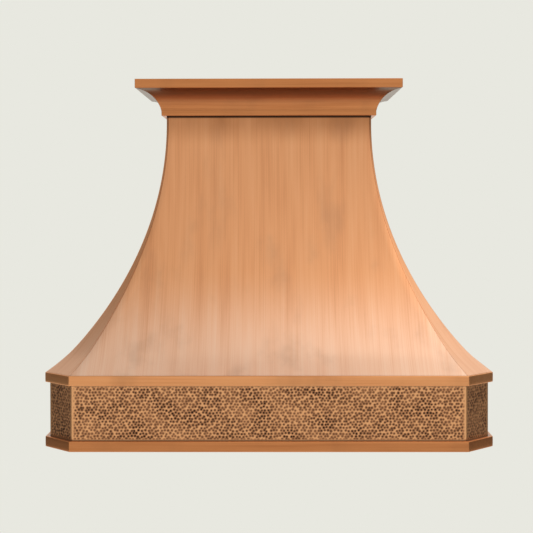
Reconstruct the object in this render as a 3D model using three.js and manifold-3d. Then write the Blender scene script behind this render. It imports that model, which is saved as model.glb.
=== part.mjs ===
// Island range hood in antique copper: a flared eight-sided shell with a cove crown and a hammered
// apron, hung from the ceiling on four uprights, with a stainless liner, baffle filters, lamps,
// push buttons, a centrifugal blower and a damped outlet duct inside.
// Millimetres. +X is right, -Y is the front, +Z is up. The origin is the middle of the bottom rim.
import * as THREE from "three";
import { mergeVertices } from "three/addons/utils/BufferGeometryUtils.js";
import Module from "manifold-3d";

const wasm = await Module();
wasm.setup();

// ---- Driving dimensions ------------------------------------------------------------------------

const WIDTH = 914;
const DEPTH = 686;
const HEIGHT = 762;
const CORNER_CUT = 58; // each vertical corner is cut off at 45 degrees, this far along both sides

const COPPER = 1.5; // sheet thickness of shell, trims and apron
const STAINLESS = 1.5; // liner and filter frames
const GALVANISED = 1.2; // plenum, blower box, duct
const STEEL = 3; // plates and angle iron
const GAP = 0.3; // between pieces that touch

const APRON_TOP = 152; // top of the upper trim, where the flared body starts
const APRON_RECESS = 9.5; // hammered apron behind the face of both trims
const UPPER_TRIM_HEIGHT = 20;
const LOWER_TRIM_HEIGHT = 21;
const TRIM_LEDGE = 26; // flange of the upper trim that carries the body
const RIM_LEDGE = 34; // flange of the lower trim that carries the liner

const NECK_WIDTH = 447;
const NECK_DEPTH = 219;
const NECK_CUT = 3.5;
const BODY_INSET = 2.5; // foot of the body behind the face of the upper trim
const FLARE_ANGLE = THREE.MathUtils.degToRad(46); // slope of the flare at its foot, from vertical
const NECK_STRAIGHT = 14; // upright part of the neck below the crown
const FLARE_STEPS = 16;
const KICK_HEIGHT = 33; // the last stretch leans out a little more, as eaves do
const KICK_OUT = 9.5;
const FINE = 32; // sides of the large circles
const MEDIUM = 24;
const SMALL = 12;
const CUT_GROWTH = 1.6; // power with which the corner facets widen towards the foot

const CROWN_HEIGHT = 75;
const CROWN_OUT = 62; // fascia beyond the neck
const CROWN_LIP_OUT = 10;
const CROWN_LIP_HEIGHT = 9;
const COVE_RADIUS = 56;
const COVE_FROM = THREE.MathUtils.degToRad(80); // tangent of the cove at its foot, from horizontal
const COVE_TO = THREE.MathUtils.degToRad(15);
const COVE_STEPS = 12;
const FASCIA_HEIGHT = 19;
const CROWN_RETURN = 19; // top flange of the crown, turned inwards

const ANGLE_LEG = 20; // angle iron
const DUCT_RADIUS = 75;
const DUCT_FLANGE = 12;
const BOLT_RADIUS = 5;

const DECK_HEIGHT = 74; // top of the liner's deck above the rim
const PAN_BORDER = 38; // flat border of the liner round the recess
const PAN_SLOPE = 16; // how far the recess narrows on its way up

const FILTER_COUNT = 2;
const FILTER_WIDTH = 320;
const FILTER_DEPTH = 330;
const FILTER_THICK = 14;
const FILTER_RIM = 14;
const FILTER_PITCH = 338;
const FIXTURE_CLEAR = 30.4; // lamps and buttons to the filters, for the clips and the foot of the plenum
const FILTER_CLEAR = 3; // to the deck's cut-out at the sides and front
const FILTER_CLEAR_REAR = 5;
const FILTER_AXIS_IN = 4; // hinge pins in front of the filter's rear edge
const FILTER_DROP = 12; // underside of a filter below the deck's top
const PIN_RADIUS = 2;
const PIN_CLEAR = 0.5;
const BAFFLE_PITCH = 30;
const BAFFLE_WIDTH = 20;
const BAFFLE_LIP = 5;

const BAIL_WIDTH = 64;
const BAIL_REACH = 30;
const BAIL_BEND = 8;
const BAIL_INSET = 24; // bail pivot behind the filter's front edge
const BAIL_DROP = 4; // bail pivot below the filter
const EYE_THICK = 3;

const CLIP_THICK = 0.8; // leaf clips that grip the front edge of each filter
const CLIP_HALF_WIDTH = 12;
const CLIP_FLANGE = 14;
const CLIP_CLEAR = 0.8; // leaf to filter
const CLIP_TAIL = 3;

const LAMP_X = 300;
const LAMP_INSET = 48; // middle of the lamps and buttons to the deck's front and rear edges
const LAMP_RADIUS = 34;
const LAMP_BARREL = 27;
const LENS_RADIUS = 24;
const LAMP_HEIGHT = 22;

const PANEL_WIDTH = 172;
const PANEL_DEPTH = 38;
const PANEL_PLATE = 3;
const SWITCH_WIDTH = 150;
const SWITCH_DEPTH = 28;
const SWITCH_HEIGHT = 22;
const BUTTON_NAMES = ["light", "low", "medium", "high"];
const BUTTON_PITCH = 36;
const BUTTON_RADIUS = 7;
const BUTTON_CLEAR = 0.5;
const BUTTON_PROUD = 3;

const PLENUM_HEIGHT = 130; // from the deck to the blower box
const BLOWER_WIDTH = 376;
const BLOWER_DEPTH = 190;
const BLOWER_HEIGHT = 260;
const WHEEL_RADIUS = 92;
const WHEEL_WIDTH = 130;
const BLADE_COUNT = 24;
const SCROLL_FROM = 100; // scroll radius at the cut-off
const SCROLL_TO = 138; // and at the outlet wall
const SCROLL_WIDTH = 152;
const INLET_RADIUS = 70;
const MOTOR_RADIUS = 46;
const SHAFT_RADIUS = 5;
const HUB_RADIUS = 14;
const COLLAR_HEIGHT = 80;
const FLAP_GAP = 2; // between a damper flap and the collar
const FLAP_AXIS = 5; // each flap's rod beside the middle of the collar
const CONDUIT_RADIUS = 5;
const BOX_HALF = 40;
const BOX_COVER = 43; // half width over the cover
const BOX_CLEAR = 10; // to the duct collar's flange

// ---- Sizes that follow from them ---------------------------------------------------------------

const halfX = WIDTH / 2;
const halfY = DEPTH / 2;
const neckX = NECK_WIDTH / 2;
const neckY = NECK_DEPTH / 2;
const bodyFoot = APRON_TOP + GAP;
const crownFoot = HEIGHT - CROWN_HEIGHT;
const flareTop = crownFoot - NECK_STRAIGHT;
const neckTop = HEIGHT - STEEL - 13;
const apronInner = APRON_RECESS + COPPER; // inside face of the apron behind the trims' faces
const linerHalfX = halfX - apronInner - 2 * GAP;
const linerHalfY = halfY - apronInner - 2 * GAP;
const deckBottom = DECK_HEIGHT - STAINLESS;
const deckX = linerHalfX - PAN_BORDER - PAN_SLOPE;
const fixtureY = FILTER_DEPTH / 2 + FIXTURE_CLEAR + LAMP_RADIUS;
const deckY = fixtureY + LAMP_INSET; // the liner's front and rear borders are what is left
const filterBottom = DECK_HEIGHT - FILTER_DROP;
const filterAxisZ = filterBottom + FILTER_THICK / 2;
const filterAxisY = FILTER_DEPTH / 2 - FILTER_AXIS_IN;
const plenumX = (FILTER_COUNT * FILTER_PITCH) / 2 + 5;
const plenumY = FILTER_DEPTH / 2 + FILTER_CLEAR + CLIP_FLANGE + 8;
const plenumTop = DECK_HEIGHT + PLENUM_HEIGHT;
const carrierX = neckX - COPPER - 4.5;
const carrierY = BLOWER_DEPTH / 2 + 38;
const blowerTop = plenumTop + BLOWER_HEIGHT;
const wheelX = SCROLL_TO - SCROLL_WIDTH / 2;
const wheelZ = blowerTop - 120;
const flapZ = blowerTop + 40;
const boxX = DUCT_RADIUS + DUCT_FLANGE + BOX_CLEAR + BOX_COVER; // junction box beside the duct

// ---- Geometry helpers --------------------------------------------------------------------------

const point = (x, y) => new THREE.Vector2(x, y);
const rectangle = (x, y, cx = 0, cy = 0) => [
  point(cx - x, cy - y),
  point(cx + x, cy - y),
  point(cx + x, cy + y),
  point(cx - x, cy + y),
];

// A rectangle with its corners cut, counter-clockwise. Edge 0 is the right side, then every second
// edge is a cut corner: 1 rear right, 3 rear left, 5 front left, 7 front right; 2 rear, 4 left, 6 front.
const octagon = (x, y, cut) => [
  point(x, cut - y),
  point(x, y - cut),
  point(x - cut, y),
  point(cut - x, y),
  point(-x, y - cut),
  point(-x, cut - y),
  point(cut - x, -y),
  point(x - cut, -y),
];
// The same outline moved in by a distance, its edges staying parallel.
const inset = (x, y, cut, by) => octagon(x - by, y - by, cut - by * (2 - Math.SQRT2));

function circle(radius, cx = 0, cy = 0, sides = MEDIUM) {
  return Array.from({ length: sides }, (_, i) => {
    const turn = (2 * Math.PI * i) / sides;
    return point(cx + radius * Math.cos(turn), cy + radius * Math.sin(turn));
  });
}

function prism(outline, from, to, holes = []) {
  const shape = new THREE.Shape(outline);
  shape.holes = holes.map((hole) => new THREE.Path(hole));
  return new THREE.ExtrudeGeometry(shape, { depth: to - from, bevelEnabled: false }).translate(0, 0, from);
}

function solid(geometry) {
  const bare = new THREE.BufferGeometry();
  bare.setAttribute("position", geometry.getAttribute("position"));
  if (geometry.index) bare.setIndex(geometry.index);
  const merged = mergeVertices(bare, 1e-3);
  const made = new wasm.Mesh({
    numProp: 3,
    vertProperties: new Float32Array(merged.attributes.position.array),
    triVerts: new Uint32Array(merged.index.array),
  });
  return new wasm.Manifold(made);
}

function geometryOf(manifold) {
  const mesh = manifold.getMesh();
  const geometry = new THREE.BufferGeometry();
  geometry.setAttribute("position", new THREE.BufferAttribute(new Float32Array(mesh.vertProperties), 3));
  geometry.setIndex(new THREE.BufferAttribute(new Uint32Array(mesh.triVerts), 1));
  geometry.computeVertexNormals();
  return geometry;
}

const join = (...geometries) => geometryOf(geometries.map(solid).reduce((a, b) => a.add(b)));
const cut = (geometry, ...tools) =>
  geometryOf(tools.map(solid).reduce((a, b) => a.subtract(b), solid(geometry)));

// A closed skin through rings of points; the caps are triangulated as the flat outline says.
function loft(rings, outline) {
  const sides = rings[0].length;
  const positions = rings.flat().flatMap((p) => [p.x, p.y, p.z]);
  const faces = [];
  for (let ring = 0; ring + 1 < rings.length; ring++) {
    for (let i = 0; i < sides; i++) {
      const a = ring * sides + i;
      const b = ring * sides + ((i + 1) % sides);
      faces.push([a, b, b + sides], [a, b + sides, a + sides]);
    }
  }
  const last = (rings.length - 1) * sides;
  for (const [a, b, c] of THREE.ShapeUtils.triangulateShape(outline, [])) {
    faces.push([a, c, b], [last + a, last + b, last + c]);
  }
  const at = (i) => new THREE.Vector3().fromArray(positions, 3 * i);
  const volume = faces.reduce((sum, [a, b, c]) => sum + at(a).dot(at(b).cross(at(c))), 0);
  const geometry = new THREE.BufferGeometry();
  geometry.setAttribute("position", new THREE.Float32BufferAttribute(positions, 3));
  geometry.setIndex(faces.flatMap(([a, b, c]) => (volume < 0 ? [a, c, b] : [a, b, c])));
  geometry.computeVertexNormals();
  return geometry;
}

// An open path and the same path moved sideways, joined into the outline of a bent sheet.
function sheetOutline(path, thickness) {
  const moved = path.map((p, i) => {
    const before = (path[i - 1] ? p.clone().sub(path[i - 1]) : path[i + 1].clone().sub(p)).normalize();
    const after = (path[i + 1] ? path[i + 1].clone().sub(p) : before.clone()).normalize();
    const side = point(-before.y - after.y, before.x + after.x).normalize();
    return p.clone().addScaledVector(side, thickness / side.dot(point(-before.y, before.x)));
  });
  return [...path, ...moved.reverse()];
}

// A disc or rod along Y: drawn in X and Z, between two distances along Y.
const alongY = (outline, from, to, holes = []) =>
  prism(outline, -to, -from, holes).rotateX(Math.PI / 2);
// A rod along X, round a centre in Y and Z.
const rodX = (radius, from, to, cy, cz, sides = SMALL) =>
  prism(circle(radius, 0, 0, sides), from, to).rotateY(Math.PI / 2).translate(0, cy, cz);

// Drawn in Y and Z, stood up so that its height runs along X.
const standAcrossX = (geometry) =>
  geometry.applyMatrix4(
    new THREE.Matrix4().makeBasis(
      new THREE.Vector3(0, 1, 0),
      new THREE.Vector3(0, 0, 1),
      new THREE.Vector3(1, 0, 0),
    ),
  );

// A hollow turned about Z, from a closed profile of radius and height.
const turned = (profile, x, y) =>
  new THREE.LatheGeometry([...profile, profile[0]], MEDIUM).rotateX(Math.PI / 2).translate(x, y, 0);

// ---- Materials ---------------------------------------------------------------------------------

const finish = (color, roughness, metalness) =>
  new THREE.MeshStandardMaterial({ color, roughness, metalness });
const brushedCopper = finish(0xd69a6b, 0.4, 1);
const trimCopper = finish(0xcc8650, 0.38, 1);
const hammeredCopper = finish(0xa1704e, 0.45, 1);
const stainless = finish(0xc4c6c8, 0.3, 1);
const galvanised = finish(0xa9adb0, 0.5, 1);
const blackSteel = finish(0x2b2c2e, 0.55, 0.6);
const frostedGlass = finish(0xf4f1e6, 0.5, 0);
const motorPaint = finish(0x3a3f45, 0.5, 0.2);

const hood = new THREE.Group();
const add = (name, material, geometry) => {
  const mesh = new THREE.Mesh(geometry, material);
  mesh.name = name;
  hood.add(mesh);
};

// ---- Copper shell ------------------------------------------------------------------------------

// Share of the whole flare reached at a height: 0 on the neck, 1 at the foot. A circular arc that
// starts upright, and the kick at the eaves.
const flareRadius = (flareTop - bodyFoot) / Math.sin(FLARE_ANGLE);
function flareShare(z) {
  const drop = Math.max(0, flareTop - z);
  const arc = (d) => flareRadius - Math.sqrt(flareRadius ** 2 - d ** 2);
  const kick = KICK_OUT * Math.max(0, 1 - (z - bodyFoot) / KICK_HEIGHT);
  return (arc(drop) + kick) / (arc(flareTop - bodyFoot) + KICK_OUT);
}

function bodySection(z, by) {
  const share = flareShare(z);
  const x = neckX + share * (halfX - BODY_INSET - neckX);
  const y = neckY + share * (halfY - BODY_INSET - neckY);
  const corner = NECK_CUT + (CORNER_CUT - NECK_CUT) * share ** CUT_GROWTH;
  return inset(x, y, corner, by);
}

const bodyLevels = [
  bodyFoot,
  bodyFoot + KICK_HEIGHT / 2,
  ...Array.from({ length: FLARE_STEPS + 1 }, (_, i) => {
    const steepest = Math.asin((flareTop - bodyFoot - KICK_HEIGHT) / flareRadius);
    return flareTop - flareRadius * Math.sin(steepest * (1 - i / FLARE_STEPS));
  }),
  neckTop,
];

// One panel of the body: the sheet along one edge of the eight-sided section, through every level.
function bodyPanel(edge) {
  const next = (edge + 1) % 8;
  const rings = bodyLevels.map((z) => {
    const outer = bodySection(z, 0);
    const inner = bodySection(z, COPPER);
    const along = outer[next].clone().sub(outer[edge]).setLength(GAP / 2);
    const outside = [outer[edge].add(along), outer[next].sub(along)];
    const inside = [inner[next].sub(along), inner[edge].add(along)];
    return [...outside, ...inside].map((p) => new THREE.Vector3(p.x, p.y, z));
  });
  return loft(rings, rectangle(1, 1));
}

const PANELS = {
  body_right: 0,
  corner_rear_right: 1,
  body_rear: 2,
  corner_rear_left: 3,
  body_left: 4,
  corner_front_left: 5,
  body_front: 6,
  corner_front_right: 7,
};
for (const [name, edge] of Object.entries(PANELS)) add(name, brushedCopper, bodyPanel(edge));

// A ring that follows the eight-sided plan, between two distances behind the trims' faces.
const ring = (outer, inner, from, to) =>
  prism(inset(halfX, halfY, CORNER_CUT, outer), from, to, [inset(halfX, halfY, CORNER_CUT, inner)]);

const trimFlange = APRON_RECESS - GAP;
add(
  "upper_trim",
  trimCopper,
  join(
    ring(0, COPPER, APRON_TOP - UPPER_TRIM_HEIGHT, APRON_TOP),
    ring(0, TRIM_LEDGE, APRON_TOP - COPPER, APRON_TOP),
    ring(0, trimFlange, APRON_TOP - UPPER_TRIM_HEIGHT, APRON_TOP - UPPER_TRIM_HEIGHT + COPPER),
  ),
);
add(
  "lower_trim",
  trimCopper,
  join(
    ring(0, COPPER, 0, LOWER_TRIM_HEIGHT),
    ring(0, RIM_LEDGE, 0, COPPER),
    ring(0, trimFlange, LOWER_TRIM_HEIGHT - COPPER, LOWER_TRIM_HEIGHT),
  ),
);

// Apron sheets: each runs along some corners of the plan, behind both trims.
function apronSheet(corners) {
  const outer = inset(halfX, halfY, CORNER_CUT, APRON_RECESS);
  const inner = inset(halfX, halfY, CORNER_CUT, apronInner);
  const trimEnds = (points) => {
    const path = corners.map((i) => points[i].clone());
    const first = path[1].clone().sub(path[0]).setLength(GAP / 2);
    const last = path.at(-1).clone().sub(path.at(-2)).setLength(GAP / 2);
    path[0].add(first);
    path.at(-1).sub(last);
    return path;
  };
  const outline = [...trimEnds(outer), ...trimEnds(inner).reverse()];
  return prism(outline, COPPER + GAP, APRON_TOP - COPPER - GAP);
}
add("apron_front", hammeredCopper, apronSheet([5, 6, 7, 0]));
add("apron_rear", hammeredCopper, apronSheet([1, 2, 3, 4]));
add("apron_left", hammeredCopper, apronSheet([4, 5]));
add("apron_right", hammeredCopper, apronSheet([0, 1]));

// The crown's sheet as distance out from the neck and height: lip, cove, ledge, fascia, top return.
function crownProfile() {
  const lipTop = crownFoot + CROWN_LIP_HEIGHT;
  const cove = Array.from({ length: COVE_STEPS + 1 }, (_, i) => {
    const tangent = COVE_FROM + ((COVE_TO - COVE_FROM) * i) / COVE_STEPS;
    return point(
      CROWN_LIP_OUT + COVE_RADIUS * (Math.sin(COVE_FROM) - Math.sin(tangent)),
      lipTop + COVE_RADIUS * (Math.cos(tangent) - Math.cos(COVE_FROM)),
    );
  });
  const path = [
    point(GAP, crownFoot),
    point(CROWN_LIP_OUT, crownFoot),
    ...cove,
    point(CROWN_OUT, HEIGHT - FASCIA_HEIGHT),
    point(CROWN_OUT, HEIGHT),
    point(CROWN_OUT - CROWN_RETURN, HEIGHT),
  ];
  return sheetOutline(path, COPPER);
}

// One mitred length of crown. `place` turns distance out, and which end, into X and Y.
function crownLength(place) {
  const profile = crownProfile();
  const rings = [-1, 1].map((end) => profile.map((p) => new THREE.Vector3(...place(p.x, end), p.y)));
  return loft(rings, profile);
}
const mitre = 0.75 * GAP;
add("crown_front", trimCopper, crownLength((out, end) => [end * (neckX + out - mitre), -neckY - out]));
add("crown_rear", trimCopper, crownLength((out, end) => [end * (neckX + out - mitre), neckY + out]));
add("crown_left", trimCopper, crownLength((out, end) => [-neckX - out, end * (neckY + out - mitre)]));
add("crown_right", trimCopper, crownLength((out, end) => [neckX + out, end * (neckY + out - mitre)]));

// ---- Steel frame -------------------------------------------------------------------------------

const plateX = neckX + CROWN_OUT - CROWN_RETURN - 6;
const plateY = neckY + CROWN_OUT - CROWN_RETURN - 5;
const boltSpots = [-1, 0, 1].flatMap((i) => [-1, 1].map((j) => [i * (plateX - 30), j * (plateY - 20)]));
const conduitHole = circle(11, boxX, 0);
add(
  "ceiling_plate",
  galvanised,
  prism(rectangle(plateX, plateY), HEIGHT - STEEL, HEIGHT, [
    circle(DUCT_RADIUS + DUCT_FLANGE + 2, 0, 0),
    conduitHole,
    ...boltSpots.map(([x, y]) => circle(BOLT_RADIUS, x, y, SMALL)),
  ]),
);

// Four lengths of angle iron from the carrier frame up through the neck to the ceiling plate.
const uprightX = carrierX - STEEL - 0.5;
const uprightY = neckY - COPPER - 6;
for (const [side, sx] of [["left", -1], ["right", 1]]) {
  for (const [end, sy] of [["front", -1], ["rear", 1]]) {
    const legs = [
      [uprightX, uprightY],
      [uprightX - ANGLE_LEG, uprightY],
      [uprightX - ANGLE_LEG, uprightY - STEEL],
      [uprightX - STEEL, uprightY - STEEL],
      [uprightX - STEEL, uprightY - ANGLE_LEG],
      [uprightX, uprightY - ANGLE_LEG],
    ].map(([x, y]) => point(sx * x, sy * y));
    add(`upright_${end}_${side}`, galvanised, prism(legs, plenumTop + STEEL + 2 * GAP, HEIGHT - STEEL - GAP));
  }
}

add(
  "carrier_frame",
  galvanised,
  join(
    prism(rectangle(carrierX, carrierY), plenumTop + GAP, plenumTop + GAP + STEEL, [
      rectangle(BLOWER_WIDTH / 2 + 4, BLOWER_DEPTH / 2 + 4),
    ]),
    prism(rectangle(carrierX, carrierY), plenumTop + GAP, plenumTop + GAP + 20, [
      rectangle(carrierX - STEEL, carrierY - STEEL),
    ]),
  ),
);

// Eight-sided ring of angle iron behind the top of the apron, under the upper trim's ledge.
const frameTop = APRON_TOP - COPPER - 2 * GAP;
const frameFace = apronInner + GAP;
add(
  "base_frame",
  galvanised,
  join(
    ring(frameFace, frameFace + STEEL, frameTop - ANGLE_LEG, frameTop),
    ring(frameFace, frameFace + ANGLE_LEG, frameTop - STEEL, frameTop),
  ),
);

// ---- Liner -------------------------------------------------------------------------------------

const filterX = Array.from({ length: FILTER_COUNT }, (_, i) => (i - (FILTER_COUNT - 1) / 2) * FILTER_PITCH);
const lampSpots = [-1, 1].flatMap((sy) => [-1, 1].map((sx) => [sx * LAMP_X, sy * fixtureY]));
const cutoutX = FILTER_WIDTH / 2 + FILTER_CLEAR;

function hopper(lowX, lowY, lowZ, highX, highY, highZ) {
  const at = (x, y, z) => rectangle(x, y).map((p) => new THREE.Vector3(p.x, p.y, z));
  return loft([at(lowX, lowY, lowZ), at(highX, highY, highZ)], rectangle(1, 1));
}

// Two ears beside each filter's rear corners, with holes for its hinge pins.
function hingeEars() {
  return filterX.flatMap((x) =>
    [-1, 1].map((side) => {
      const near = x + side * (cutoutX + 0.5);
      const ear = prism(rectangle(5, 8, filterAxisY, filterAxisZ - 2.5), 0, STAINLESS, [
        circle(PIN_RADIUS + PIN_CLEAR, filterAxisY, filterAxisZ, SMALL),
      ]);
      return standAcrossX(ear).translate(side > 0 ? near : near - STAINLESS, 0, 0);
    }),
  );
}

function linerPan() {
  const rim = COPPER + GAP;
  const mouthX = linerHalfX - PAN_BORDER;
  const mouthY = deckY + PAN_SLOPE;
  const wall = STAINLESS * 1.1;
  const outline = octagon(linerHalfX, linerHalfY, CORNER_CUT - apronInner * (2 - Math.SQRT2));
  const border = prism(outline, rim, rim + STAINLESS, [rectangle(mouthX - wall, mouthY - wall)]);
  const sides = cut(
    hopper(mouthX, mouthY, rim, deckX, deckY, DECK_HEIGHT),
    hopper(mouthX - wall, mouthY - wall, rim - 1, deckX - wall, deckY - wall, deckBottom),
  );
  const filterHoles = filterX.map((x) =>
    prism(
      [
        point(x - cutoutX, -FILTER_DEPTH / 2 - FILTER_CLEAR),
        point(x + cutoutX, -FILTER_DEPTH / 2 - FILTER_CLEAR),
        point(x + cutoutX, FILTER_DEPTH / 2 + FILTER_CLEAR_REAR),
        point(x - cutoutX, FILTER_DEPTH / 2 + FILTER_CLEAR_REAR),
      ],
      deckBottom - 1,
      DECK_HEIGHT + 1,
    ),
  );
  const lampHoles = lampSpots.map(([x, y]) =>
    prism(circle(LAMP_BARREL + 1, x, y), deckBottom - 1, DECK_HEIGHT + 1));
  const switchHole = prism(
    rectangle(SWITCH_WIDTH / 2 + 1, SWITCH_DEPTH / 2 + 1, 0, -fixtureY), deckBottom - 1, DECK_HEIGHT + 1);
  const pan = cut(join(border, sides), ...filterHoles, ...lampHoles, switchHole);
  return join(pan, ...hingeEars());
}
add("liner_pan", stainless, linerPan());

// ---- Baffle filters ----------------------------------------------------------------------------

const bailAxisY = -FILTER_DEPTH / 2 + BAIL_INSET;
const bailAxisZ = filterBottom - BAIL_DROP;

// Frame with hinge pins at the rear and two eyes for the bail under the front rail.
function filterFrame(x) {
  const innerX = FILTER_WIDTH / 2 - FILTER_RIM;
  const innerY = FILTER_DEPTH / 2 - FILTER_RIM;
  const wall = STAINLESS;
  const outside = rectangle(FILTER_WIDTH / 2, FILTER_DEPTH / 2, x, 0);
  const inside = rectangle(FILTER_WIDTH / 2 - wall, FILTER_DEPTH / 2 - wall, x, 0);
  const rim = prism(outside, filterBottom, filterBottom + FILTER_THICK, [inside]);
  const lips = [filterBottom, filterBottom + FILTER_THICK - wall].map((z) =>
    prism(outside, z, z + wall, [rectangle(innerX, innerY, x, 0)]),
  );
  const pins = [-1, 1].map((side) => {
    const from = x + side * (FILTER_WIDTH / 2 - wall);
    const to = x + side * (FILTER_WIDTH / 2 + 6);
    return rodX(PIN_RADIUS, Math.min(from, to), Math.max(from, to), filterAxisY, filterAxisZ);
  });
  const bridgeDepth = BAIL_INSET + 7;
  const underBail = rectangle(BAIL_WIDTH / 2 + 12, bridgeDepth / 2, x, (bridgeDepth - FILTER_DEPTH) / 2);
  const bridge = prism(underBail, filterBottom, filterBottom + wall);
  const eyes = [-1, 1].map((side) => {
    const at = x + side * (BAIL_WIDTH / 2 + 3);
    const eye = cut(
      rodX(BAIL_DROP + 1, at - EYE_THICK / 2, at + EYE_THICK / 2, bailAxisY, bailAxisZ),
      rodX(PIN_RADIUS + PIN_CLEAR, at - EYE_THICK, at + EYE_THICK, bailAxisY, bailAxisZ),
    );
    return eye;
  });
  return join(rim, ...lips, ...pins, bridge, ...eyes);
}

// Two staggered rows of channels, open towards each other, tied by a strip at each end.
function filterBaffles(x) {
  const reachX = FILTER_WIDTH / 2 - STAINLESS - GAP;
  const reachY = FILTER_DEPTH / 2 - STAINLESS - GAP;
  const low = filterBottom + STAINLESS + GAP;
  const high = filterBottom + FILTER_THICK - STAINLESS - GAP;
  const wide = BAFFLE_WIDTH / 2;
  const count = Math.floor((2 * (reachX - wide)) / BAFFLE_PITCH);
  const channel = (cx, base, tip) => {
    const skin = Math.sign(tip - base);
    const outline = [
      point(cx - wide, tip),
      point(cx - wide, base),
      point(cx + wide, base),
      point(cx + wide, tip),
      point(cx + wide - 1, tip),
      point(cx + wide - 1, base + skin),
      point(cx - wide + 1, base + skin),
      point(cx - wide + 1, tip),
    ];
    return alongY(skin > 0 ? outline : outline.reverse(), -reachY, reachY);
  };
  const lower = Array.from({ length: count + 1 }, (_, i) =>
    channel(x + (i - count / 2) * BAFFLE_PITCH, low, low + BAFFLE_LIP));
  const upper = Array.from({ length: count }, (_, i) =>
    channel(x + (i - count / 2 + 0.5) * BAFFLE_PITCH, high, high - BAFFLE_LIP));
  const ties = [-1, 1].map((end) =>
    prism(rectangle(reachX, 3, x, end * (reachY - 3)), low, high));
  return join(...ties, ...lower, ...upper);
}

// Wire bail, hanging down from the two eyes.
function filterBail(x) {
  const w = BAIL_WIDTH / 2 - 1;
  const low = bailAxisZ - BAIL_REACH;
  const at = (px, pz) => new THREE.Vector3(x + px, bailAxisY, pz);
  const bend = BAIL_BEND;
  const path = new THREE.CurvePath();
  const line = (a, b) => path.add(new THREE.LineCurve3(a, b));
  const corner = (a, b, c) => path.add(new THREE.QuadraticBezierCurve3(a, b, c));
  line(at(-w - 7, bailAxisZ), at(-w + 0, bailAxisZ));
  corner(at(-w, bailAxisZ), at(-w + bend / 2, bailAxisZ), at(-w + bend / 2, bailAxisZ - bend / 2));
  line(at(-w + bend / 2, bailAxisZ - bend / 2), at(-w + bend / 2, low + bend));
  corner(at(-w + bend / 2, low + bend), at(-w + bend / 2, low), at(-w + 1.5 * bend, low));
  line(at(-w + 1.5 * bend, low), at(w - 1.5 * bend, low));
  corner(at(w - 1.5 * bend, low), at(w - bend / 2, low), at(w - bend / 2, low + bend));
  line(at(w - bend / 2, low + bend), at(w - bend / 2, bailAxisZ - bend / 2));
  corner(at(w - bend / 2, bailAxisZ - bend / 2), at(w - bend / 2, bailAxisZ), at(w, bailAxisZ));
  line(at(w, bailAxisZ), at(w + 7, bailAxisZ));
  return new THREE.ExtrudeGeometry(new THREE.Shape(circle(PIN_RADIUS, 0, 0, 8)), {
    steps: 36,
    extrudePath: path,
    bevelEnabled: false,
  });
}

// Leaf clip in front of a filter: a flange on the deck, the leaf down through the cut-out, a turned-out tail.
function filterClip(x) {
  const leaf = -FILTER_DEPTH / 2 - CLIP_CLEAR;
  const foot = DECK_HEIGHT + GAP;
  const tip = filterBottom - 0.5;
  const path = [
    point(leaf - CLIP_FLANGE, foot + CLIP_THICK),
    point(leaf, foot + CLIP_THICK),
    point(leaf, tip),
    point(leaf - CLIP_TAIL, tip - CLIP_TAIL / 2),
  ];
  const outline = sheetOutline(path, -CLIP_THICK);
  return standAcrossX(prism(outline, x - CLIP_HALF_WIDTH, x + CLIP_HALF_WIDTH));
}

const FILTER_SIDES = ["left", "right"];
filterX.forEach((x, i) => {
  const where = FILTER_SIDES[i];
  add(`filter_frame_${where}`, stainless, filterFrame(x));
  add(`filter_baffles_${where}`, stainless, filterBaffles(x));
  add(`filter_bail_${where}`, stainless, filterBail(x));
  add(`filter_clip_${where}`, stainless, filterClip(x));
});

// ---- Lamps and push buttons --------------------------------------------------------------------

const bezelBottom = deckBottom - GAP - 3;
lampSpots.forEach(([x, y], i) => {
  const lip = 1;
  const top = bezelBottom + LAMP_HEIGHT;
  const bezel = turned(
    [
      point(LENS_RADIUS - 1.5, bezelBottom),
      point(LAMP_RADIUS - 2, bezelBottom),
      point(LAMP_RADIUS, bezelBottom + 1.5),
      point(LAMP_RADIUS, bezelBottom + 3),
      point(LAMP_BARREL, bezelBottom + 3),
      point(LAMP_BARREL, top),
      point(8, top),
      point(8, top - 1.5),
      point(LENS_RADIUS + GAP, top - 1.5),
      point(LENS_RADIUS + GAP, bezelBottom + lip),
      point(LENS_RADIUS - 1.5, bezelBottom + lip),
    ],
    x,
    y,
  );
  add(`lamp_bezel_${i + 1}`, stainless, bezel);
  const lens = prism(circle(LENS_RADIUS, x, y), bezelBottom + lip + GAP, bezelBottom + lip + GAP + 3);
  add(`lamp_lens_${i + 1}`, frostedGlass, lens);
});

const buttonX = BUTTON_NAMES.map((_, i) => (i - (BUTTON_NAMES.length - 1) / 2) * BUTTON_PITCH);
const panelBottom = deckBottom - GAP - PANEL_PLATE;
const panelTop = panelBottom + PANEL_PLATE;
const switchBody = rectangle(SWITCH_WIDTH / 2, SWITCH_DEPTH / 2, 0, -fixtureY);
add(
  "control_panel",
  blackSteel,
  join(
    prism(rectangle(PANEL_WIDTH / 2, PANEL_DEPTH / 2, 0, -fixtureY), panelBottom, panelTop, [
      ...buttonX.map((x) => circle(BUTTON_RADIUS + BUTTON_CLEAR, x, -fixtureY, MEDIUM)),
    ]),
    prism(switchBody, panelBottom, panelTop + SWITCH_HEIGHT, [
      rectangle(SWITCH_WIDTH / 2 - 1.5, SWITCH_DEPTH / 2 - 1.5, 0, -fixtureY),
    ]),
    prism(switchBody, panelTop + SWITCH_HEIGHT - 1.5, panelTop + SWITCH_HEIGHT),
  ),
);
BUTTON_NAMES.forEach((name, i) => {
  const x = buttonX[i];
  add(
    `${name}_button`,
    stainless,
    join(
      prism(circle(BUTTON_RADIUS, x, -fixtureY, MEDIUM), panelBottom - BUTTON_PROUD, panelTop + 2.3),
      prism(circle(BUTTON_RADIUS + 2, x, -fixtureY, MEDIUM), panelTop + GAP, panelTop + 2.3),
    ),
  );
});

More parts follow.
